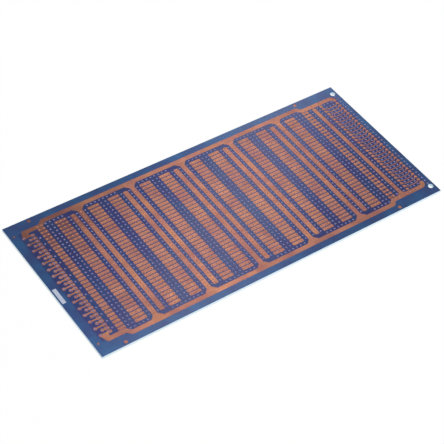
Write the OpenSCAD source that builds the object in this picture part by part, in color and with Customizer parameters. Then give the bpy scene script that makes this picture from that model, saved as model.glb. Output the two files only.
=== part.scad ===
// Prototype board for leaded parts: a drilled laminate card with copper strips, two comb-shaped
// supply buses, a row of connector lands at one end and a pad field at the other.
// X runs along the card from the connector end, Y points to the far edge, Z is up from the underside.

/* [Laminate] */
// Thickness of the laminate
laminate_t = 1.6; // [0.8:0.1:3.2]
// Bore of the two fixing holes
fixing_bore = 3.1; // [2.7:0.1:3.4]

/* [Lead hole grid] */
// Spacing of the lead holes
pitch = 2.54; // [2.5:0.01:2.55]
// Bore of a lead hole
lead_bore = 1; // [0.8:0.05:1.2]
// Number of hole rows across the card
rows = 34; // [30:2:34]
// From the connector end to the outer row of connector holes
end_margin = 6.5; // [5:0.1:12]
// From the last column of holes to the other end
tail_margin = 2.68; // [2.3:0.02:12]
// From the outer line of the frame bars to the long edges
side_margin = 5.55; // [4:0.05:12]

/* [Copper] */
// Thickness of the copper foil
copper_t = 0.035; // [0.018:0.001:0.105]
// Width of a soldering strip
strip_w = 2; // [1.5:0.05:2.1]
// Copper past the last hole of a strip
strip_end = 0.9; // [0.7:0.05:0.95]
// Corner chamfer of a strip
strip_chamfer = 0.4; // [0.2:0.05:0.6]
// Width of the link between the two pads of a waisted strip
waist_w = 1.3; // [0.8:0.1:1.5]
// Width of a supply bus
bus_w = 2.9; // [2:0.1:3]
// Width of the last bus, beside the pad field
end_bus_w = 2.4; // [1.8:0.1:2.8]
// Copper past the last hole at the free end of a bus
bus_end = 0.85; // [0.7:0.05:0.9]
// Width of the two long frame bars
frame_w = 2.7; // [1.6:0.1:2.8]
// Leg of the triangular fan where a bus meets its frame
fan_leg = 2.3; // [1:0.1:2.8]
// Diameter of a round pad
pad_d = 2; // [1.7:0.1:2.2]
// Diameter of the round end of a connector land
land_d = 2; // [1.6:0.1:2.1]
// Width of the neck of a connector land
neck_w = 1; // [0.5:0.1:1.3]
// Width of the thin tracks that join the two pad columns
track_w = 0.55; // [0.25:0.05:0.6]
// Diameter of the registration dots
dot_d = 2; // [1.2:0.1:2.4]
// From the long edges to the registration dots
dot_inset = 2; // [1.6:0.1:2.6]
// Diameter of the two connector location dots
location_d = 1.2; // [0.8:0.1:1.6]

/* [Printed layers] */
// Thickness of the solder resist
resist_t = 0.025; // [0.015:0.001:0.05]
// Gap between the resist and the copper or a hole
resist_gap = 0.06; // [0.03:0.01:0.12]
// Thickness of the white legend ink
ink_t = 0.015; // [0.01:0.001:0.03]
// Length of the blank writing field
field_l = 10.8; // [6:0.1:16]
// Width of the blank writing field
field_w = 2.2; // [1.5:0.1:3]
// From the connector end to the writing field
field_inset = 0.9; // [0.4:0.1:1]

/* [Hidden] */

PAIRS = 5;
SOCKET = 3;
FAR = 1;
NEAR = -1;
FIRST = -1;
WELD = 0.01;
SEAM = 0.02;
hole_fn = 24;

// Columns of the grid, counted from the outer row of connector holes
entry_col = 3;
left_strip_col = entry_col + 1;
aisle = left_strip_col + 2;
near_bus = aisle + SOCKET + 3;
far_bus = near_bus + 2;
period = far_bus + SOCKET + 2 - aisle;
end_col = aisle + period * PAIRS;
right_strip_col = end_col + 2;
end_bus = right_strip_col + 3;
pad_cols = [end_bus + 2, end_bus + 6];
edge_col = pad_cols[1] + 1;
last = edge_col + 1;
aisle_cols = [for (k = [0:PAIRS]) for (c = [aisle, aisle + 1]) c + period * k];
strip_cols = [for (k = [0:PAIRS - 1]) for (c = [aisle, far_bus]) c + 2 + period * k];
lane_cols = [for (k = [0:PAIRS - 1]) for (c = [near_bus - 1, near_bus + 1, far_bus + 1]) c + period * k];
near_bus_cols = concat([for (k = [0:PAIRS - 1]) near_bus + period * k], end_bus);
far_bus_cols = [for (k = [0:PAIRS - 1]) far_bus + period * k];
end_zone_cols = [for (c = [-1, 1, 3, 4, 5]) end_bus + c];

// Rows of the grid: inner_line holds the last row of holes, outer_line lies one row further out
inner_line = (rows - 1) / 2 * pitch;
outer_line = inner_line + pitch;
strip_reach = inner_line - pitch;
land_reach = rows / 2 - 2;
board_l = end_margin + edge_col * pitch + tail_margin;
board_w = 2 * (outer_line + side_margin);
jog_left = left_strip_col + 1;
jog_right = right_strip_col;
jog_shift = 0.2 * pitch;
bend = tan(22.5);
land_end_l = 2 * (strip_end + strip_chamfer);

film_z = laminate_t;
ink_z = laminate_t + resist_t;

function col_x(c) = -board_l / 2 + end_margin + c * pitch;
function row_y(j) = ((rows - 1) / 2 - j) * pitch;

// Holes of one grid column between two rows
module hole_column(c, first, last, grow = 0)
    for (j = [first:last]) translate([col_x(c), row_y(j)]) circle(r = lead_bore / 2 + grow, $fn = hole_fn);

// Holes that pass through the resist with no copper round them, in the columns from c0 to c1
module bare_holes(c0, c1, grow = 0) {
    for (c = concat(lane_cols, end_zone_cols)) if (c >= c0 && c < c1) hole_column(c, 1, rows - 2, grow);
    for (c = concat(aisle_cols, edge_col)) if (c >= c0 && c < c1) hole_column(c, 0, rows - 1, grow);
    for (s = strip_cols) for (i = [0:SOCKET - 1]) if (s + i >= c0 && s + i < c1)
        for (j = [0, rows - 1]) hole_column(s + i, j, j, grow);
    if (entry_col >= c0 && entry_col < c1)
        for (k = [3:2:2 * land_reach + 1]) hole_column(entry_col, k, k, grow);
}

module fixing_holes(grow = 0)
    for (side = [NEAR, FAR]) translate([col_x(edge_col), side * outer_line])
        circle(r = fixing_bore / 2 + grow, $fn = 2 * hole_fn);

// A bar with chamfered corners about the origin, grown by g all round
module bar(l, w, chamfer, g = 0) {
    x = l / 2 + g;
    y = w / 2 + g;
    polygon([
        [-x + chamfer, -y], [x - chamfer, -y], [x, -y + chamfer], [x, y - chamfer],
        [x - chamfer, y], [-x + chamfer, y], [-x, y - chamfer], [-x, -y + chamfer]
    ]);
}

// One strip over n holes that starts at column c in row j
module strip(c, n, j, g = 0)
    translate([(col_x(c) + col_x(c + n - 1)) / 2, row_y(j)])
        bar((n - 1) * pitch + 2 * strip_end, strip_w, strip_chamfer, g);

module strip_rows(c, n, g = 0)
    for (j = [1:rows - 2]) strip(c, n, j, g);

// Two short pads of row j from column c on, joined by a narrower link
module waisted_strip(c, j, g = 0) {
    for (i = [0, 1]) strip(c + i, 1, j, g);
    run([col_x(c), row_y(j)], [col_x(c + 1), row_y(j)], waist_w + 2 * g);
}

// Straight run of copper between two points with square ends
module run(a, b, w) {
    d = b - a;
    translate(a) rotate(atan2(d[1], d[0])) translate([0, -w / 2]) square([norm(d), w]);
}

// Long bar that follows the inner line at both ends and the outer line between its two jogs
module frame_bar(g = 0) {
    h = frame_w / 2 + g;
    b = bend * h;
    x_in = col_x(1) - frame_w / 2 - g;
    x_out = col_x(edge_col - 2);
    j0 = col_x(jog_left) - jog_shift;
    j1 = j0 + pitch;
    k1 = col_x(jog_right) + jog_shift;
    k0 = k1 - pitch;
    polygon([
        [x_in, inner_line - h], [j0 + b, inner_line - h], [j1 + b, outer_line - h],
        [k0 - b, outer_line - h], [k1 - b, inner_line - h], [x_out, inner_line - h],
        [x_out, inner_line + h], [k1 + b, inner_line + h], [k0 + b, outer_line + h],
        [j1 - b, outer_line + h], [j0 - b, inner_line + h], [x_in, inner_line + h]
    ]);
}

// Quarter ring that takes the frame round the corner to the first pad of the edge column
module frame_corner(g = 0) {
    h = frame_w / 2 + g;
    translate([col_x(edge_col - 2), inner_line - pitch]) intersection() {
        difference() {
            circle(r = pitch + h, $fn = 48);
            circle(r = pitch - h, $fn = 48);
        }
        translate([-WELD, -pad_d / 4]) square(2 * pitch + h);
    }
}

// Block that joins the frame to the last land of the connector row
module frame_foot(g = 0) {
    x = col_x(1);
    y = land_reach * pitch;
    w = frame_w / 2 + g;
    polygon([
        [x + w, y - neck_w / 2 - g], [x + w, inner_line + w], [x - w, inner_line + w],
        [col_x(0) - land_d / 4 - g, y + land_d / 3 + g], [col_x(0), y - neck_w / 2 - g]
    ]);
}

// Bus along column c, joined to the frame on one side and free on the other
module bus(c, g = 0) {
    at_end = c > jog_right;
    w = (at_end ? end_bus_w : bus_w) / 2 + g;
    root = (at_end ? inner_line : outer_line) - frame_w / 2 - g;
    free = -strip_reach - bus_end - g;
    fan = at_end ? min(fan_leg, pitch / 2) : fan_leg;
    tip = 1.5 * strip_chamfer;
    translate([col_x(c), 0]) polygon([
        [-w - fan, root + WELD], [-w - fan, root], [-w, root - fan], [-w, free + tip], [-w + tip, free],
        [w - tip, free], [w, free + tip], [w, root - fan], [w + fan, root], [w + fan, root + WELD]
    ]);
}

// Outline of a comb on the far side between two columns: frame and buses, with the land at the
// connector end and the corner with its pad at the other
module comb_outline(cols, c0, c1, g = 0) {
    frame_bar(g);
    if (c0 < 0) {
        frame_foot(g);
        land(0, land_reach, g);
    }
    if (c1 > edge_col) {
        frame_corner(g);
        pad(pad_cols[1], 1, g);
    }
    for (c = cols) if (c >= c0 - 1 && c <= c1 + 1) bus(c, g);
}

module comb_holes(cols) {
    for (c = cols) hole_column(c, 1, rows - 2);
    for (c = [left_strip_col:jog_left]) hole_column(c, 0, 0);
    for (c = [jog_right:edge_col - 2]) hole_column(c, 0, 0);
    hole_column(pad_cols[1], 1, 1);
    land_holes(0, land_reach);
}

module comb(cols)
    translate([0, 0, film_z]) linear_extrude(copper_t) difference() {
        comb_outline(cols, FIRST, last);
        comb_holes(cols);
    }

module pad(c, j, g = 0)
    translate([col_x(c), row_y(j)]) circle(d = pad_d + 2 * g, $fn = 48);

// Connector land whose pin hole is in column c, at k pitches from the centre line
module land(c, k, g = 0)
    translate([0, k * pitch]) {
        translate([col_x(c), 0]) circle(d = land_d + 2 * g, $fn = 48);
        run([col_x(c), 0], [col_x(2), 0], neck_w + 2 * g);
        translate([col_x(2), 0]) bar(land_end_l, strip_w, strip_chamfer, g);
    }

module land_holes(c, k)
    for (x = [c, 2]) translate([col_x(x), k * pitch]) circle(d = lead_bore, $fn = hole_fn);

module lands(c, reach)
    translate([0, 0, film_z]) linear_extrude(copper_t)
        for (k = [-reach:2:reach]) difference() {
            land(c, k);
            land_holes(c, k);
        }

// Two pads of one row and the thin track that passes below the three bare holes between them
module pad_link(j, g = 0) {
    a = col_x(pad_cols[0]);
    b = col_x(pad_cols[1]);
    y = row_y(j);
    dip = pitch / 2;
    lead = pad_d / 2 - track_w / 2;
    w = track_w + 2 * g;
    for (c = pad_cols) pad(c, j, g);
    run([a, y], [a + lead, y], w);
    run([a + lead, y], [a + lead + dip, y - dip], w);
    run([a + lead + dip, y - dip], [b - lead - dip, y - dip], w);
    run([b - lead - dip, y - dip], [b - lead, y], w);
    run([b - lead, y], [b, y], w);
}

// Linked pads of the rows between the two combs, and a lone pad beside each comb's own pad
module pad_field(g = 0) {
    for (j = [2:rows - 3]) pad_link(j, g);
    for (j = [1, rows - 2]) pad(pad_cols[0], j, g);
}

module strips(c, n)
    translate([0, 0, film_z]) linear_extrude(copper_t)
        for (j = [1:rows - 2]) difference() {
            strip(c, n, j);
            for (i = [0:n - 1]) hole_column(c + i, j, j);
        }

module waisted_strips(c)
    translate([0, 0, film_z]) linear_extrude(copper_t)
        for (j = [1:rows - 2]) difference() {
            waisted_strip(c, j);
            for (i = [0, 1]) hole_column(c + i, j, j);
        }

module dots(g = 0)
    for (x = [col_x(entry_col) + pitch / 3, col_x(right_strip_col)]) for (side = [NEAR, FAR])
        translate([x, side * (board_w / 2 - dot_inset)]) circle(d = dot_d + 2 * g, $fn = 32);

module location_dots(g = 0)
    for (side = [NEAR, FAR])
        translate([col_x(0) - 1.5 * pitch, side * inner_line]) circle(d = location_d + 2 * g, $fn = 32);

// Resist over the columns from c0 to c1, with windows for the copper and the holes
module resist_field(c0, c1) {
    x0 = c0 < 0 ? -board_l / 2 : col_x(c0) + SEAM / 2;
    x1 = c1 > edge_col ? board_l / 2 : col_x(c1) - SEAM / 2;
    difference() {
        translate([x0, -board_w / 2]) square([x1 - x0, board_w]);
        comb_outline(far_bus_cols, c0, c1, resist_gap);
        mirror([0, 1]) comb_outline(near_bus_cols, c0, c1, resist_gap);
        for (s = strip_cols) if (s > c0 && s < c1) strip_rows(s, SOCKET, resist_gap);
        if (c0 < 0) {
            strip_rows(left_strip_col, 2, resist_gap);
            for (k = [2 - land_reach:2:land_reach - 2]) land(0, k, resist_gap);
            for (k = [1 - land_reach:2:land_reach - 1]) land(1, k, resist_gap);
            location_dots(resist_gap);
        }
        if (c1 > edge_col) {
            pad_field(resist_gap);
            fixing_holes(resist_gap);
        }
        if (right_strip_col > c0 && right_strip_col < c1)
            for (j = [1:rows - 2]) waisted_strip(right_strip_col, j, resist_gap);
        bare_holes(c0, c1, resist_gap);
        dots(resist_gap);
    }
}

module laminate()
    color("lightsteelblue") linear_extrude(laminate_t) difference() {
        square([board_l, board_w], center = true);
        bare_holes(FIRST, last);
        for (k = [-land_reach:2:land_reach]) land_holes(0, k);
        for (k = [1 - land_reach:2:land_reach - 1]) land_holes(1, k);
        fixing_holes();
    }

module solder_resist()
    color([0.2, 0.38, 0.64]) translate([0, 0, film_z]) linear_extrude(resist_t) {
        resist_field(FIRST, near_bus_cols[0]);
        for (k = [0:PAIRS - 1]) resist_field(near_bus_cols[k], near_bus_cols[k + 1]);
        resist_field(near_bus_cols[PAIRS], last);
    }

module far_bus_comb() color([0.8, 0.45, 0.3]) comb(far_bus_cols);

module near_bus_comb() color([0.8, 0.45, 0.3]) mirror([0, 1]) comb(near_bus_cols);

module connector_lands_outer() color([0.82, 0.48, 0.33]) lands(0, land_reach - 2);

module connector_lands_inner() color([0.82, 0.48, 0.33]) lands(1, land_reach - 1);

module lead_strips_left() color([0.8, 0.45, 0.32]) strips(left_strip_col, 2);

module lead_strips_right() color([0.8, 0.45, 0.32]) waisted_strips(right_strip_col);

module socket_strips(n) color([0.8, 0.46, 0.34]) strips(strip_cols[n - 1], SOCKET);

module pad_links()
    color([0.8, 0.45, 0.32]) translate([0, 0, film_z]) linear_extrude(copper_t) difference() {
        pad_field();
        hole_column(pad_cols[0], 1, rows - 2);
        hole_column(pad_cols[1], 2, rows - 3);
    }

module registration_dots()
    color([0.8, 0.45, 0.32]) translate([0, 0, film_z]) linear_extrude(copper_t) dots();

module connector_location_dots()
    color([0.7, 0.4, 0.35]) translate([0, 0, film_z]) linear_extrude(copper_t) location_dots();

module writing_field()
    color("white") translate([-board_l / 2 + field_inset, -field_l, ink_z])
        cube([field_w, field_l, ink_t]);

laminate();
solder_resist();
far_bus_comb();
near_bus_comb();
connector_lands_outer();
connector_lands_inner();
lead_strips_left();
lead_strips_right();
socket_strips(1);  // socket_strips_1
socket_strips(2);  // socket_strips_2
socket_strips(3);  // socket_strips_3
socket_strips(4);  // socket_strips_4
socket_strips(5);  // socket_strips_5
socket_strips(6);  // socket_strips_6
socket_strips(7);  // socket_strips_7
socket_strips(8);  // socket_strips_8
socket_strips(9);  // socket_strips_9
socket_strips(10);  // socket_strips_10
pad_links();
registration_dots();
connector_location_dots();
writing_field();
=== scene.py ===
"""Prototype board, dressed round the CAD frame: the drilled card, its copper, its coat and its legend."""

import logging
import math
from dataclasses import dataclass
from enum import Enum

import bpy
from mathutils import Matrix, Vector

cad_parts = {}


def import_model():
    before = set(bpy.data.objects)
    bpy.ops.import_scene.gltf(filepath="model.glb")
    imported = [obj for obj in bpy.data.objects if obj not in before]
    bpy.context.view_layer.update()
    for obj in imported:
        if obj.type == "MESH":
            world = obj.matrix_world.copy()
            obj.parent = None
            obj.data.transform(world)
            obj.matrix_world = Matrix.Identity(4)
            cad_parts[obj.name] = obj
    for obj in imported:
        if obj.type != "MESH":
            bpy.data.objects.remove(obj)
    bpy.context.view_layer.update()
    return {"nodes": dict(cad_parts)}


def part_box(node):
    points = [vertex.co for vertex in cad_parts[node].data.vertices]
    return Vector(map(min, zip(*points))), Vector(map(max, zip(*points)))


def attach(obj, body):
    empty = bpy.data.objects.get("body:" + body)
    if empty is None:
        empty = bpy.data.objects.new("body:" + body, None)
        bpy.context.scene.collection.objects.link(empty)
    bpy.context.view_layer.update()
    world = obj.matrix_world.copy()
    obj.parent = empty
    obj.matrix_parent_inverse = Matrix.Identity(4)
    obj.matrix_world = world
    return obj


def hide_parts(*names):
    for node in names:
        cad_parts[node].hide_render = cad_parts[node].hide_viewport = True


MM = 0.001
# A Wave texture runs through one band for every 2 pi / 20 units of scaled coordinate
WAVE_TURN = 2 * math.pi / 20

log = logging.getLogger("prototype_board")

Colour = tuple[float, float, float, float]


class CardSurface(Enum):
    """Material slots of the drilled card."""

    BACK = 0
    COATED = 1
    EDGE = 2
    OPEN_BORE = 3
    FOIL_BORE = 4


def linear(hex_colour: str) -> Colour:
    """Turns an sRGB hex colour into linear red, green, blue and alpha.

    Args:
        hex_colour: Six hex digits after a hash.

    Returns:
        The colour as Blender's sockets take it.
    """
    levels = [int(hex_colour[start:start + 2], 16) / 255 for start in (1, 3, 5)]
    lit = [v / 12.92 if v <= 0.04045 else ((v + 0.055) / 1.055) ** 2.4 for v in levels]
    return (lit[0], lit[1], lit[2], 1.0)


def deselect_all() -> None:
    bpy.ops.object.select_all(action="DESELECT")


def pick(*objects: bpy.types.Object) -> None:
    """Selects only these objects and makes the first one active.

    Args:
        objects: What the next operator acts on.
    """
    deselect_all()
    for obj in objects:
        obj.select_set(True)
    bpy.context.view_layer.objects.active = objects[0]


def bake_place(obj: bpy.types.Object) -> None:
    """Moves an object's place and size into its mesh.

    Args:
        obj: A mesh object.
    """
    pick(obj)
    bpy.ops.object.transform_apply(location=True, rotation=True, scale=True)


def add_node(
    tree: bpy.types.NodeTree,
    kind: str,
    settings: dict[str, object] | None = None,
    values: dict[str | int, object] | None = None,
    links: dict[str | int, bpy.types.NodeSocket] | None = None,
    stops: dict[float, str] | None = None,
) -> bpy.types.Node:
    """Adds one shader node with its settings, socket values and incoming links.

    Args:
        tree: The node tree that takes the node.
        kind: The node's type name.
        settings: Properties of the node itself.
        values: Input sockets and the constants they hold.
        links: Input sockets and the outputs that feed them.
        stops: The two places along a colour ramp and their hex colours.

    Returns:
        The new node.
    """
    node = tree.nodes.new(kind)
    for name, setting in (settings or {}).items():
        setattr(node, name, setting)
    for name, value in (values or {}).items():
        node.inputs[name].default_value = value
    for name, source in (links or {}).items():
        tree.links.new(source, node.inputs[name])
    if stops:
        for element, (position, colour) in zip(node.color_ramp.elements, sorted(stops.items())):
            element.position = position
            element.color = linear(colour)
    return node


@dataclass(frozen=True)
class Finish:
    """A named finish: its shader's constants, and the start that its patterns share."""

    name: str
    roughness: float
    ior: float = 1.5
    specular: float = 0.5

    def tree(self) -> tuple[bpy.types.Material, bpy.types.NodeTree, bpy.types.Node]:
        """Starts the material.

        Returns:
            The material, its node tree and its Principled shader.
        """
        material = bpy.data.materials.new(self.name)
        material.use_nodes = True
        tree = material.node_tree
        tree.nodes.clear()
        shader = add_node(
            tree,
            "ShaderNodeBsdfPrincipled",
            values={"Roughness": self.roughness, "IOR": self.ior, "Specular IOR Level": self.specular},
        )
        add_node(tree, "ShaderNodeOutputMaterial", links={"Surface": shader.outputs["BSDF"]})
        return material, tree, shader

    @staticmethod
    def place(tree: bpy.types.NodeTree, stretch: tuple[float, float, float]) -> bpy.types.NodeSocket:
        """Object coordinates scaled along each axis.

        Args:
            tree: The material's node tree.
            stretch: Repeats per metre along X, Y and Z.

        Returns:
            The scaled coordinates.
        """
        where = add_node(tree, "ShaderNodeTexCoord")
        mapping = add_node(
            tree,
            "ShaderNodeMapping",
            values={"Scale": stretch},
            links={"Vector": where.outputs["Object"]},
        )
        return mapping.outputs["Vector"]


@dataclass(frozen=True)
class EtchedCopper(Finish):
    """Rolled copper foil, scrubbed and lacquered: a dusty salmon metal with a soft, uneven sheen."""

    fresh: str = "#966652"
    dull: str = "#835650"
    cloud: float = 14 * MM
    # The scrub lines of the real foil are 0.05 mm apart, too fine to show, so they are drawn wider
    scrub: float = 0.45 * MM
    # The lines run along the card, so they change this much slower that way
    scrub_along: float = 0.12
    sheen_below: float = 0.1
    sheen_above: float = 0.12
    scrub_depth: float = 0.01 * MM
    # One tone for each stretch of foil about a strip wide, because the lacquer lies unevenly on it
    patch_width: float = 2.54 * MM
    patch_length: float = 12.7 * MM
    patch_darkest: float = 0.9
    patch_lightest: float = 1.08
    # Painted shade: the foil is painted darker round one corner of the card, and from there twice as far
    # along the card as across it
    painted_shade_corner: tuple[float, float] = (0.0, 0.0)
    painted_shade_stretch: float = 2.0
    painted_shade_heart: float = 10 * MM
    painted_shade_reach: float = 46 * MM
    painted_shade_tone: float = 0.67

    def painted_shade(self, tree: bpy.types.NodeTree) -> bpy.types.NodeSocket:
        """Painted shade on the foil, darkest round one corner and fading outwards.

        Args:
            tree: The material's node tree.

        Returns:
            A factor on the foil's colour, 1 outside the painted shade.
        """
        along, across = self.painted_shade_corner
        away = add_node(
            tree,
            "ShaderNodeVectorMath",
            settings={"operation": "DISTANCE"},
            values={1: (along / self.painted_shade_stretch, across, 0.0)},
            links={0: self.place(tree, (1 / self.painted_shade_stretch, 1.0, 0.0))},
        )
        tone = add_node(
            tree,
            "ShaderNodeMapRange",
            settings={"interpolation_type": "SMOOTHSTEP"},
            values={
                "From Min": self.painted_shade_heart,
                "From Max": self.painted_shade_reach,
                "To Min": self.painted_shade_tone,
            },
            links={"Value": away.outputs["Value"]},
        )
        return tone.outputs["Result"]

    def make(self) -> bpy.types.Material:
        """Builds the material.

        Returns:
            The material.
        """
        material, tree, shader = self.tree()
        shader.inputs["Metallic"].default_value = 1.0
        cloud = add_node(
            tree,
            "ShaderNodeTexNoise",
            values={"Scale": 1.0, "Detail": 3.0, "Roughness": 0.55},
            links={"Vector": self.place(tree, (1 / self.cloud,) * 3)},
        )
        base = add_node(
            tree,
            "ShaderNodeValToRGB",
            links={"Fac": cloud.outputs["Fac"]},
            stops={0.36: self.dull, 0.64: self.fresh},
        )
        snapped = add_node(
            tree,
            "ShaderNodeVectorMath",
            settings={"operation": "FLOOR"},
            links={0: self.place(tree, (1 / self.patch_length, 1 / self.patch_width, 0.0))},
        )
        speckle = add_node(
            tree,
            "ShaderNodeTexWhiteNoise",
            settings={"noise_dimensions": "3D"},
            links={"Vector": snapped.outputs["Vector"]},
        )
        tone = add_node(
            tree,
            "ShaderNodeMapRange",
            values={"To Min": self.patch_darkest, "To Max": self.patch_lightest},
            links={"Value": speckle.outputs["Value"]},
        )
        # The random patch tones times the painted shade round one corner
        patches_and_painted_shade = add_node(
            tree,
            "ShaderNodeMath",
            settings={"operation": "MULTIPLY"},
            links={0: tone.outputs["Result"], 1: self.painted_shade(tree)},
        )
        shade = add_node(
            tree,
            "ShaderNodeVectorMath",
            settings={"operation": "SCALE"},
            links={0: base.outputs["Color"], "Scale": patches_and_painted_shade.outputs["Value"]},
        )
        tree.links.new(shade.outputs["Vector"], shader.inputs["Base Color"])
        lines = add_node(
            tree,
            "ShaderNodeTexNoise",
            values={"Scale": 1.0, "Detail": 2.0},
            links={
                "Vector": self.place(
                    tree, (self.scrub_along / self.scrub, 1 / self.scrub, 1 / self.scrub)
                )
            },
        )
        gloss = add_node(
            tree,
            "ShaderNodeMapRange",
            values={
                "To Min": self.roughness - self.sheen_below,
                "To Max": self.roughness + self.sheen_above,
            },
            links={"Value": lines.outputs["Fac"]},
        )
        tree.links.new(gloss.outputs["Result"], shader.inputs["Roughness"])
        bump = add_node(
            tree,
            "ShaderNodeBump",
            values={"Strength": 0.25, "Distance": self.scrub_depth},
            links={"Height": lines.outputs["Fac"]},
        )
        tree.links.new(bump.outputs["Normal"], shader.inputs["Normal"])
        return material


@dataclass(frozen=True)
class CoatPool:
    """A rectangle about the card's middle line in which the coat is darker, between the foil."""

    middle: float
    length: float
    width: float


@dataclass(frozen=True)
class SolderResist(Finish):
    """Cured epoxy solder resist, curtain coated: a blue gloss, darker in the rectangles between the foil.
    """

    deep: str = "#1E3A6F"
    thin: str = "#194C7E"
    pool_deep: str = "#1B2160"
    pool_thin: str = "#122D64"
    # The pools end under the frame bars: the first between their jogs, the second over both ends
    pools: tuple[CoatPool, ...] = (
        CoatPool(middle=-4.45 * MM, length=168.7 * MM, width=88.9 * MM),
        CoatPool(middle=0.5 * MM, length=211 * MM, width=83.8 * MM),
    )
    shore: float = 1 * MM
    flow: float = 10 * MM
    peel: float = 1.6 * MM
    peel_depth: float = 0.02 * MM
    # Painted sheen: a slanted band along the card's middle is painted brighter, and the coat beside it
    # darker as painted shade
    painted_sheen_turn: float = -35.5
    painted_sheen_offset: float = -1.8 * MM
    painted_sheen_inner: float = 30 * MM
    painted_sheen_outer: float = 75 * MM
    painted_sheen_tone: float = 1.2
    painted_shade_beside_sheen: float = 0.85

    def past_pool(self, tree: bpy.types.NodeTree, pool: CoatPool) -> bpy.types.NodeSocket:
        """Distance beyond the edge of a pool, negative inside it.

        Args:
            tree: The material's node tree.
            pool: The pool.

        Returns:
            The distance in metres.
        """
        where = add_node(tree, "ShaderNodeTexCoord")
        centred = add_node(
            tree,
            "ShaderNodeVectorMath",
            settings={"operation": "SUBTRACT"},
            values={1: (pool.middle, 0.0, 0.0)},
            links={0: where.outputs["Object"]},
        )
        away = add_node(
            tree,
            "ShaderNodeVectorMath",
            settings={"operation": "ABSOLUTE"},
            links={0: centred.outputs["Vector"]},
        )
        past = add_node(
            tree,
            "ShaderNodeVectorMath",
            settings={"operation": "SUBTRACT"},
            values={1: (pool.length / 2, pool.width / 2, 0.0)},
            links={0: away.outputs["Vector"]},
        )
        axes = add_node(tree, "ShaderNodeSeparateXYZ", links={0: past.outputs["Vector"]})
        furthest = add_node(
            tree,
            "ShaderNodeMath",
            settings={"operation": "MAXIMUM"},
            links={0: axes.outputs["X"], 1: axes.outputs["Y"]},
        )
        return furthest.outputs["Value"]

    def painted_sheen(self, tree: bpy.types.NodeTree) -> bpy.types.NodeSocket:
        """Painted sheen on the coat: brighter along a slanted band, darker as painted shade beside it.

        Args:
            tree: The material's node tree.

        Returns:
            A factor on the coat's colour.
        """
        where = add_node(tree, "ShaderNodeTexCoord")
        turned = add_node(
            tree,
            "ShaderNodeMapping",
            values={
                "Rotation": (0.0, 0.0, math.radians(self.painted_sheen_turn)),
                "Location": (0.0, self.painted_sheen_offset, 0.0),
            },
            links={"Vector": where.outputs["Object"]},
        )
        axes = add_node(tree, "ShaderNodeSeparateXYZ", links={0: turned.outputs["Vector"]})
        away = add_node(
            tree,
            "ShaderNodeMath",
            settings={"operation": "ABSOLUTE"},
            links={0: axes.outputs["Y"]},
        )
        tone = add_node(
            tree,
            "ShaderNodeMapRange",
            settings={"interpolation_type": "SMOOTHSTEP"},
            values={
                "From Min": self.painted_sheen_inner,
                "From Max": self.painted_sheen_outer,
                "To Min": self.painted_sheen_tone,
                "To Max": self.painted_shade_beside_sheen,
            },
            links={"Value": away.outputs["Value"]},
        )
        return tone.outputs["Result"]

    def make(self) -> bpy.types.Material:
        """Builds the material.

        Returns:
            The material.
        """
        material, tree, shader = self.tree()
        flow = add_node(
            tree,
            "ShaderNodeTexNoise",
            values={"Scale": 1.0, "Detail": 2.0},
            links={"Vector": self.place(tree, (1 / self.flow,) * 3)},
        )
        margin, pool = (
            add_node(
                tree,
                "ShaderNodeValToRGB",
                links={"Fac": flow.outputs["Fac"]},
                stops={0.35: deep, 0.65: thin},
            )
            for deep, thin in ((self.deep, self.thin), (self.pool_deep, self.pool_thin))
        )
        nearest = add_node(
            tree,
            "ShaderNodeMath",
            settings={"operation": "MINIMUM"},
            links={index: self.past_pool(tree, area) for index, area in enumerate(self.pools)},
        )
        pooled = add_node(
            tree,
            "ShaderNodeMapRange",
            settings={"interpolation_type": "SMOOTHSTEP"},
            values={"From Min": -self.shore, "From Max": self.shore, "To Min": 1.0, "To Max": 0.0},
            links={"Value": nearest.outputs["Value"]},
        )
        # The Mix node's colours are its inputs 6 and 7 and its output 2
        base = add_node(
            tree,
            "ShaderNodeMix",
            settings={"data_type": "RGBA"},
            links={0: pooled.outputs["Result"], 6: margin.outputs["Color"], 7: pool.outputs["Color"]},
        )
        # The coat's colour times the painted sheen and the painted shade beside it
        shade = add_node(
            tree,
            "ShaderNodeVectorMath",
            settings={"operation": "SCALE"},
            links={0: base.outputs[2], "Scale": self.painted_sheen(tree)},
        )
        tree.links.new(shade.outputs["Vector"], shader.inputs["Base Color"])
        peel = add_node(
            tree,
            "ShaderNodeTexNoise",
            values={"Scale": 1.0, "Detail": 1.0},
            links={"Vector": self.place(tree, (1 / self.peel,) * 3)},
        )
        bump = add_node(
            tree,
            "ShaderNodeBump",
            values={"Strength": 0.3, "Distance": self.peel_depth},
            links={"Height": peel.outputs["Fac"]},
        )
        tree.links.new(bump.outputs["Normal"], shader.inputs["Normal"])
        return material


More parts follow.
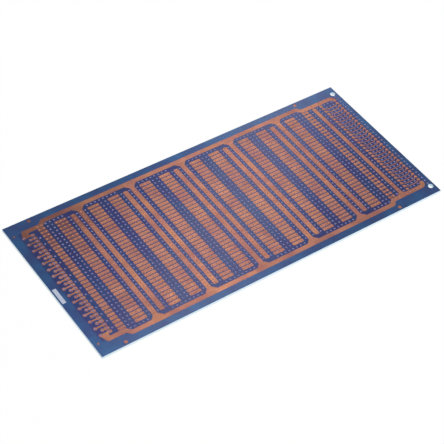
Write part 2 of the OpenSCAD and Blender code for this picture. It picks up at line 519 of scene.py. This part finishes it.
@dataclass(frozen=True)
class GlassCloth(Finish):
    """Pressed glass-epoxy face: pale resin with the crossed threads of the glass cloth just under it."""

    resin: str = "#9FB6C4"
    thread: str = "#B9CBD4"
    # The cloth has 0.45 mm between threads, drawn at twice that so that it shows
    weave: float = 0.9 * MM
    thread_height: float = 0.01 * MM

    def make(self) -> bpy.types.Material:
        """Builds the material.

        Returns:
            The material.
        """
        material, tree, shader = self.tree()
        waves = [
            add_node(
                tree,
                "ShaderNodeTexWave",
                settings={"bands_direction": direction},
                values={"Scale": 1.0, "Distortion": 0.4, "Detail": 1.0},
                links={"Vector": self.place(tree, (WAVE_TURN / self.weave,) * 3)},
            )
            for direction in ("X", "Y")
        ]
        cloth = add_node(
            tree,
            "ShaderNodeMath",
            settings={"operation": "MAXIMUM"},
            links={0: waves[0].outputs["Fac"], 1: waves[1].outputs["Fac"]},
        )
        base = add_node(
            tree,
            "ShaderNodeValToRGB",
            links={"Fac": cloth.outputs["Value"]},
            stops={0.3: self.resin, 0.95: self.thread},
        )
        tree.links.new(base.outputs["Color"], shader.inputs["Base Color"])
        bump = add_node(
            tree,
            "ShaderNodeBump",
            values={"Strength": 0.2, "Distance": self.thread_height},
            links={"Height": cloth.outputs["Value"]},
        )
        tree.links.new(bump.outputs["Normal"], shader.inputs["Normal"])
        return material


@dataclass(frozen=True)
class SawnPlies(Finish):
    """Sawn glass-epoxy edge: pale, dry and faintly banded by the plies of glass cloth."""

    ply_light: str = "#E4F4FC"
    ply_dark: str = "#D0E4F0"
    ply: float = 0.2 * MM
    fray: float = 1.2 * MM
    saw_marks: float = 0.02 * MM

    def make(self) -> bpy.types.Material:
        """Builds the material.

        Returns:
            The material.
        """
        material, tree, shader = self.tree()
        bands = add_node(
            tree,
            "ShaderNodeTexWave",
            settings={"bands_direction": "Z"},
            values={"Scale": 1.0, "Distortion": 0.6, "Detail": 1.0, "Detail Scale": 2.0},
            links={
                "Vector": self.place(
                    tree, (WAVE_TURN / self.fray, WAVE_TURN / self.fray, WAVE_TURN / self.ply)
                )
            },
        )
        base = add_node(
            tree,
            "ShaderNodeValToRGB",
            links={"Fac": bands.outputs["Fac"]},
            stops={0.1: self.ply_dark, 0.7: self.ply_light},
        )
        tree.links.new(base.outputs["Color"], shader.inputs["Base Color"])
        bump = add_node(
            tree,
            "ShaderNodeBump",
            values={"Strength": 0.3, "Distance": self.saw_marks},
            links={"Height": bands.outputs["Fac"]},
        )
        tree.links.new(bump.outputs["Normal"], shader.inputs["Normal"])
        return material


@dataclass(frozen=True)
class LegendInk(Finish):
    """Screen-printed white legend ink: flat, slightly lavender over the blue coat."""

    full: str = "#B6BDD0"
    starved: str = "#A2ABC2"
    mesh: float = 0.6 * MM

    def make(self) -> bpy.types.Material:
        """Builds the material.

        Returns:
            The material.
        """
        material, tree, shader = self.tree()
        print_mesh = add_node(
            tree,
            "ShaderNodeTexNoise",
            values={"Scale": 1.0, "Detail": 2.0},
            links={"Vector": self.place(tree, (1 / self.mesh,) * 3)},
        )
        base = add_node(
            tree,
            "ShaderNodeValToRGB",
            links={"Fac": print_mesh.outputs["Fac"]},
            stops={0.35: self.starved, 0.55: self.full},
        )
        tree.links.new(base.outputs["Color"], shader.inputs["Base Color"])
        return material


@dataclass(frozen=True)
class HoleRun:
    """Evenly spaced holes: the place of the first, the number each way and the steps between them."""

    x: float
    y: float
    along: int
    across: int
    step_x: float
    step_y: float


@dataclass(frozen=True)
class LeadGrid:
    """The grid the card is drilled on: columns from the connector end, rows from the far edge."""

    card_start: float
    pitch: float = 2.54 * MM
    end_margin: float = 6.5 * MM
    rows: int = 34
    blocks: int = 5
    first_column: int = 4
    # Column of the first block's aisle, and columns from one block's aisle to the next
    aisle: int = 6
    period: int = 13
    # Columns of strips, buses and pads, counted from each block's aisle and from the last one
    foil_in_block: tuple[int, ...] = (2, 3, 4, 6, 8, 10, 11, 12)
    foil_at_end: tuple[int, ...] = (2, 3, 5, 7, 11)
    columns_at_end: int = 12
    # Holes of the first and last rows: for each block, first columns from its aisle and numbers of
    # holes, and then the number from the last aisle on
    outer_row_in_block: tuple[tuple[int, int], ...] = ((0, 5), (10, 3))
    outer_row_at_end: int = 11
    # The column before the first one has a hole in every other row from this one on
    sparse_from_row: int = 3
    # The connector's pins lie between the rows and stop short of the first and last ones
    pin_inset: int = 2

    @property
    def end_column(self) -> int:
        """Column of the last aisle."""
        return self.aisle + self.period * self.blocks

    @property
    def edge_column(self) -> int:
        """Last column, which also carries the fixing holes."""
        return self.end_column + self.columns_at_end

    def x(self, column: int) -> float:
        """Place of a column along the card."""
        return self.card_start + self.end_margin + column * self.pitch

    def y(self, row: float) -> float:
        """Place of a row across the card."""
        return ((self.rows - 1) / 2 - row) * self.pitch

    def run(self, column: int, along: int, row: float, across: int = 1, skip: int = 1) -> HoleRun:
        """Holes from a first column and row on.

        Args:
            column: First column.
            along: Number of columns.
            row: First row.
            across: Number of rows.
            skip: Rows from one hole to the next.

        Returns:
            The run of holes.
        """
        return HoleRun(self.x(column), self.y(row), along, across, self.pitch, -skip * self.pitch)

    def under_foil(self, x: float, y: float) -> bool:
        """Tells whether the hole round a point comes up through copper, other than a connector land.

        Args:
            x: Place along the card.
            y: Place across the card.

        Returns:
            True for the holes of strips, buses, pads and frame bars.
        """
        column = round((x - self.x(0)) / self.pitch)
        row = round((self.y(0) - y) / self.pitch)
        if row in (0, self.rows - 1):
            return column < self.aisle or self.end_column + self.foil_at_end[0] <= column < self.edge_column
        if column < self.first_column:
            return False
        if column < self.end_column:
            return column < self.aisle or (column - self.aisle) % self.period in self.foil_in_block
        return column - self.end_column in self.foil_at_end

    def runs(self) -> list[HoleRun]:
        """Lays out the lead holes of the card.

        Returns:
            All lead holes, as runs that don't overlap.
        """
        last_row = self.rows - 1
        middle = last_row / 2
        reach = self.rows // 2 - self.pin_inset
        columns = self.edge_column - self.first_column + 1
        found = [self.run(self.first_column, columns, 1, self.rows - 2)]
        for row in (0, last_row):
            found.append(self.run(self.first_column, 2, row))
            for block in range(self.blocks):
                start = self.aisle + self.period * block
                for first, along in self.outer_row_in_block:
                    found.append(self.run(start + first, along, row))
            found.append(self.run(self.end_column, self.outer_row_at_end, row))
            found.append(self.run(self.edge_column, 1, row))
        found.append(self.run(self.first_column - 1, 1, self.sparse_from_row, reach, skip=2))
        found.append(self.run(0, 1, middle - reach, reach + 1, skip=2))
        found.append(self.run(1, 1, middle - reach + 1, reach, skip=2))
        found.append(self.run(2, 1, middle - reach, 2 * reach + 1))
        return found


@dataclass
class DrilledCard:
    """The glass-epoxy card in one piece, drilled at each lead hole and fixing hole."""

    low: Vector
    high: Vector
    grid: LeadGrid
    lead_bore: float = 1.0 * MM
    lead_sides: int = 12
    fixing_bore: float = 3.1 * MM
    fixing_sides: int = 40
    overshoot: float = 0.4 * MM
    edge_break: float = 0.08 * MM
    smooth_angle: float = 40.0
    # A face counts as the top or the back from this share of straight up or down
    level: float = 0.9
    # Past this row, and past its mirror image at the near edge, there are only the fixing holes
    fixing_from_row: float = -0.3

    def blank(self) -> bpy.types.Object:
        """Models the undrilled card with its lower and upright edges broken.

        Returns:
            The blank, with its place in its mesh.
        """
        deselect_all()
        bpy.ops.mesh.primitive_cube_add(
            size=1, location=(self.low + self.high) / 2, scale=self.high - self.low
        )
        card = bpy.context.object
        card.name = "drilled_card"
        bake_place(card)
        bpy.ops.object.mode_set(mode="EDIT")
        bpy.ops.mesh.select_mode(type="EDGE")
        bpy.ops.mesh.select_all(action="DESELECT")
        bpy.ops.object.mode_set(mode="OBJECT")
        top = self.high.z - self.edge_break
        points = card.data.vertices
        for edge in card.data.edges:
            edge.select = not all(points[index].co.z > top for index in edge.vertices)
        bpy.ops.object.mode_set(mode="EDIT")
        bpy.ops.mesh.bevel(offset=self.edge_break, segments=2, affect="EDGES")
        bpy.ops.object.mode_set(mode="OBJECT")
        return card

    def bit(self, x: float, y: float, bore: float, sides: int) -> bpy.types.Object:
        """Models one drill bit that reaches past both faces of the card.

        Args:
            x: Place along the card.
            y: Place across the card.
            bore: Diameter of the hole.
            sides: Number of flats round it.

        Returns:
            The bit.
        """
        depth = self.high.z - self.low.z + 2 * self.overshoot
        # The bit with its flats has the true circle's area
        fair = math.sqrt(2 * math.pi / (sides * math.sin(2 * math.pi / sides)))
        deselect_all()
        bpy.ops.mesh.primitive_cylinder_add(
            vertices=sides,
            radius=bore / 2 * fair,
            depth=depth,
            location=(x, y, (self.low.z + self.high.z) / 2),
        )
        bit = bpy.context.object
        bake_place(bit)
        return bit

    @staticmethod
    def repeat(obj: bpy.types.Object, count: int, step: tuple[float, float, float]) -> None:
        """Repeats a mesh at even steps.

        Args:
            obj: The object to repeat.
            count: Number of copies, the first included.
            step: Offset from one copy to the next.
        """
        if count < 2:
            return
        pick(obj)
        bpy.ops.object.modifier_add(type="ARRAY")
        array = obj.modifiers[-1]
        array.count = count
        array.use_relative_offset = False
        array.use_constant_offset = True
        array.constant_offset_displace = step
        bpy.ops.object.modifier_apply(modifier=array.name)

    def bits(self) -> bpy.types.Object:
        """Models all drill bits.

        Returns:
            One mesh of separate cylinders.
        """
        made = []
        for run in self.grid.runs():
            bit = self.bit(run.x, run.y, self.lead_bore, self.lead_sides)
            self.repeat(bit, run.along, (run.step_x, 0.0, 0.0))
            self.repeat(bit, run.across, (0.0, run.step_y, 0.0))
            made.append(bit)
        edge_x = self.grid.x(self.grid.edge_column)
        # The fixing holes lie one row outside the first and last rows
        outer_line = self.grid.y(-1)
        for side in (-outer_line, outer_line):
            made.append(self.bit(edge_x, side, self.fixing_bore, self.fixing_sides))
        pick(*made)
        bpy.ops.object.join()
        return bpy.context.object

    def drill(self, card: bpy.types.Object, bits: bpy.types.Object) -> None:
        """Cuts the bits out of the card and removes them.

        Args:
            card: The blank.
            bits: All drill bits.
        """
        pick(card)
        bpy.ops.object.modifier_add(type="BOOLEAN")
        cut = card.modifiers[-1]
        cut.operation = "DIFFERENCE"
        cut.solver = "MANIFOLD"
        cut.object = bits
        bpy.ops.object.modifier_apply(modifier=cut.name)
        pick(bits)
        bpy.ops.object.delete()

    def surface(self, face: bpy.types.MeshPolygon) -> CardSurface:
        """Tells which of the card's surfaces a face belongs to.

        Args:
            face: A face of the drilled card.

        Returns:
            Its kind of surface.
        """
        if face.normal.z > self.level:
            return CardSurface.COATED
        if face.normal.z < -self.level:
            return CardSurface.BACK
        rim = 2 * self.edge_break
        centre = face.center
        inside_x = self.low.x + rim < centre.x < self.high.x - rim
        inside_y = self.low.y + rim < centre.y < self.high.y - rim
        in_fixing_hole = abs(centre.y) > self.grid.y(self.fixing_from_row)
        if in_fixing_hole or not (inside_x and inside_y):
            return CardSurface.EDGE
        under_foil = self.grid.under_foil(centre.x, centre.y)
        return CardSurface.FOIL_BORE if under_foil else CardSurface.OPEN_BORE

    def build(self, materials: dict[CardSurface, bpy.types.Material]) -> bpy.types.Object:
        """Models, drills and dresses the card.

        Args:
            materials: The finish of each of the card's surfaces.

        Returns:
            The finished card, which stands for the CAD laminate.
        """
        card = self.blank()
        self.drill(card, self.bits())
        card.data.materials.clear()
        for kind in CardSurface:
            card.data.materials.append(materials[kind])
        for face in card.data.polygons:
            face.material_index = self.surface(face).value
        pick(card)
        bpy.ops.object.shade_smooth_by_angle(angle=math.radians(self.smooth_angle))
        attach(card, "root")
        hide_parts("laminate")
        return card


@dataclass
class PrintedLayers:
    """The foil, the coat and the ink, which keep their CAD shapes and take their finishes."""

    nodes: dict[str, bpy.types.Object]
    coats: dict[str, Finish]
    left_to_card: tuple[str, ...] = ("laminate",)

    def dress(self, foil: Finish) -> None:
        """Gives each node its finish, and the foil's to every node that has no coat of its own.

        Args:
            foil: The finish of the copper.
        """
        made = {name: finish.make() for name, finish in self.coats.items()}
        copper = foil.make()
        for name, obj in self.nodes.items():
            if name in self.left_to_card:
                continue
            obj.data.materials.clear()
            obj.data.materials.append(made.get(name, copper))
            log.info("%s: %s, %d faces", name, obj.data.materials[0].name, len(obj.data.polygons))


@dataclass
class Studio:
    """A plain white sweep with a broad and a narrow soft light, and the camera of the photograph."""

    floor_size: float = 8.0
    floor_drop: float = 0.05 * MM
    # Share of the floor that shows as pure white; the rest takes the light and keeps the shadow
    floor_glow: float = 0.92
    ambient: float = 0.72
    # A tube softbox hung level over the far right: its reflection is the soft bright band on the card
    tube_power: float = 0.66
    tube_width: float = 0.12
    tube_length: float = 0.55
    tube_place: tuple[float, float, float] = (0.353, 0.424, 0.581)
    tube_turn: float = 36.0
    key_power: float = 6.0
    key_size: float = 0.9
    key_distance: float = 1.3
    key_azimuth: float = 25.0
    key_elevation: float = 55.0
    # The camera, fitted to the rows and columns of holes in the photograph
    aim: tuple[float, float, float] = (-7.76 * MM, -6.20 * MM, 1.6 * MM)
    azimuth: float = -38.87
    elevation: float = 46.55
    roll: float = 5.38
    distance: float = 776.2 * MM
    focal_px: float = 1449.1
    picture_px: float = 444.0
    sensor: float = 36.0
    nearest_seen: float = 10 * MM
    furthest_seen: float = 20.0

    @staticmethod
    def towards(azimuth: float, elevation: float) -> Vector:
        """Unit vector from the card to a place round it.

        Args:
            azimuth: Degrees from the near side, positive towards +X.
            elevation: Degrees above the card.

        Returns:
            The direction.
        """
        a, e = math.radians(azimuth), math.radians(elevation)
        return Vector((math.sin(a) * math.cos(e), -math.cos(a) * math.cos(e), math.sin(e)))

    @staticmethod
    def seen_directly(tree: bpy.types.NodeTree) -> bpy.types.NodeSocket:
        """Tells what is seen from what only lights the scene.

        Args:
            tree: A node tree.

        Returns:
            1 for what the camera, a reflection or clear material shows, and 0 for the rest.
        """
        path = add_node(tree, "ShaderNodeLightPath")
        seen = path.outputs["Is Camera Ray"]
        for name in ("Is Glossy Ray", "Is Transmission Ray"):
            either = add_node(
                tree,
                "ShaderNodeMath",
                settings={"operation": "MAXIMUM"},
                links={0: seen, 1: path.outputs[name]},
            )
            seen = either.outputs["Value"]
        return seen

    def sky(self) -> None:
        """Lights the card evenly from all round, before a plain white background."""
        world = bpy.data.worlds.new("white_sweep")
        bpy.context.scene.world = world
        world.use_nodes = True
        tree = world.node_tree
        tree.nodes.clear()
        white = linear("#FFFFFF")
        light = add_node(tree, "ShaderNodeBackground", values={"Color": white, "Strength": self.ambient})
        shown = add_node(tree, "ShaderNodeBackground", values={"Color": white, "Strength": 1.0})
        mix = add_node(
            tree,
            "ShaderNodeMixShader",
            links={0: self.seen_directly(tree), 1: light.outputs[0], 2: shown.outputs[0]},
        )
        add_node(tree, "ShaderNodeOutputWorld", links={"Surface": mix.outputs[0]})

    def floor(self) -> None:
        """Lays the white floor just under the card."""
        deselect_all()
        bpy.ops.mesh.primitive_plane_add(size=self.floor_size, location=(0, 0, -self.floor_drop))
        floor = bpy.context.object
        floor.name = "white_floor"
        bake_place(floor)
        material = bpy.data.materials.new("white_floor_paper")
        material.use_nodes = True
        tree = material.node_tree
        tree.nodes.clear()
        paper = add_node(tree, "ShaderNodeBsdfDiffuse", values={"Color": linear("#FAFAFA")})
        glow = add_node(tree, "ShaderNodeEmission", values={"Color": linear("#FFFFFF"), "Strength": 1.0})
        share = add_node(
            tree,
            "ShaderNodeMath",
            settings={"operation": "MULTIPLY"},
            values={1: self.floor_glow},
            links={0: self.seen_directly(tree)},
        )
        mix = add_node(
            tree,
            "ShaderNodeMixShader",
            links={0: share.outputs["Value"], 1: paper.outputs[0], 2: glow.outputs[0]},
        )
        add_node(tree, "ShaderNodeOutputMaterial", links={"Surface": mix.outputs[0]})
        floor.data.materials.append(material)

    def key_light(self) -> None:
        """Hangs one broad soft light over the near edge."""
        back = self.towards(self.key_azimuth, self.key_elevation)
        deselect_all()
        bpy.ops.object.light_add(type="AREA", location=back * self.key_distance)
        lamp = bpy.context.object
        lamp.name = "key_softbox"
        lamp.data.shape = "SQUARE"
        lamp.data.size = self.key_size
        lamp.data.energy = self.key_power
        lamp.rotation_euler = back.to_track_quat("Z", "Y").to_euler()

    def tube_light(self) -> None:
        """Hangs the narrow softbox whose reflection runs slantwise over the card."""
        deselect_all()
        bpy.ops.object.light_add(type="AREA", location=self.tube_place)
        lamp = bpy.context.object
        lamp.name = "tube_softbox"
        lamp.data.shape = "RECTANGLE"
        lamp.data.size = self.tube_length
        lamp.data.size_y = self.tube_width
        lamp.data.energy = self.tube_power
        lamp.rotation_euler = (0.0, 0.0, math.radians(self.tube_turn))

    def camera(self) -> None:
        """Sets up the camera at the photograph's viewing angle."""
        back = self.towards(self.azimuth, self.elevation)
        level = Vector((math.cos(math.radians(self.azimuth)), math.sin(math.radians(self.azimuth)), 0))
        upright = back.cross(level)
        tilt = math.radians(self.roll)
        right = math.cos(tilt) * level + math.sin(tilt) * upright
        up = math.cos(tilt) * upright - math.sin(tilt) * level
        deselect_all()
        bpy.ops.object.camera_add()
        camera = bpy.context.object
        camera.name = "photo_camera"
        camera.matrix_world = Matrix.Translation(Vector(self.aim) + back * self.distance) @ Matrix(
            (right, up, back)
        ).transposed().to_4x4()
        camera.data.sensor_width = self.sensor
        camera.data.lens = self.sensor * self.focal_px / self.picture_px
        camera.data.clip_start = self.nearest_seen
        camera.data.clip_end = self.furthest_seen
        bpy.context.scene.camera = camera

    def build(self) -> None:
        """Sets up the whole studio."""
        self.sky()
        self.floor()
        self.key_light()
        self.tube_light()
        self.camera()
        bpy.context.scene.view_settings.view_transform = "Standard"


def main() -> None:
    """Builds the board's pieces round the frame and sets the studio."""
    logging.basicConfig(level=logging.INFO, format="%(name)s: %(message)s")
    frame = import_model()
    low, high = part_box("laminate")
    layers = PrintedLayers(
        nodes=frame["nodes"],
        coats={
            "solder_resist": SolderResist(name="blue_solder_resist", roughness=0.2, specular=0.26),
            "writing_field": LegendInk(name="white_legend_ink", roughness=0.6),
        },
    )
    # The foil's painted shade is darkest round this corner
    connector_far_corner = (low.x, high.y)
    layers.dress(
        foil=EtchedCopper(
            name="etched_copper_foil", roughness=0.33, painted_shade_corner=connector_far_corner
        )
    )
    card = DrilledCard(low=low, high=high, grid=LeadGrid(card_start=low.x)).build(
        {
            CardSurface.BACK: GlassCloth(name="glass_epoxy_back", roughness=0.45).make(),
            # The top face shows only in the coat's gaps: a darker copy of the back, painted as shade under
            # the coat's edge
            CardSurface.COATED: GlassCloth(
                name="glass_epoxy_painted_shade_under_coat", roughness=0.45, resin="#3C4560", thread="#47516E"
            ).make(),
            CardSurface.EDGE: SawnPlies(name="sawn_glass_epoxy", roughness=0.7).make(),
            # The bore walls are tinted copies of the sawn edge with painted light: lighter to stand for
            # light through the card, with a painted reflection that is lavender through the coat and warm
            # through the copper
            CardSurface.OPEN_BORE: SawnPlies(
                name="drilled_glass_epoxy", roughness=0.6, ply_light="#D4CCEC", ply_dark="#C0B8DC"
            ).make(),
            CardSurface.FOIL_BORE: SawnPlies(
                name="drilled_glass_epoxy_under_foil",
                roughness=0.6,
                ply_light="#F8CDB8",
                ply_dark="#EABEA8",
            ).make(),
        }
    )
    log.info("%s: %d faces", card.name, len(card.data.polygons))
    Studio().build()


if __name__ == "__main__":
    main()
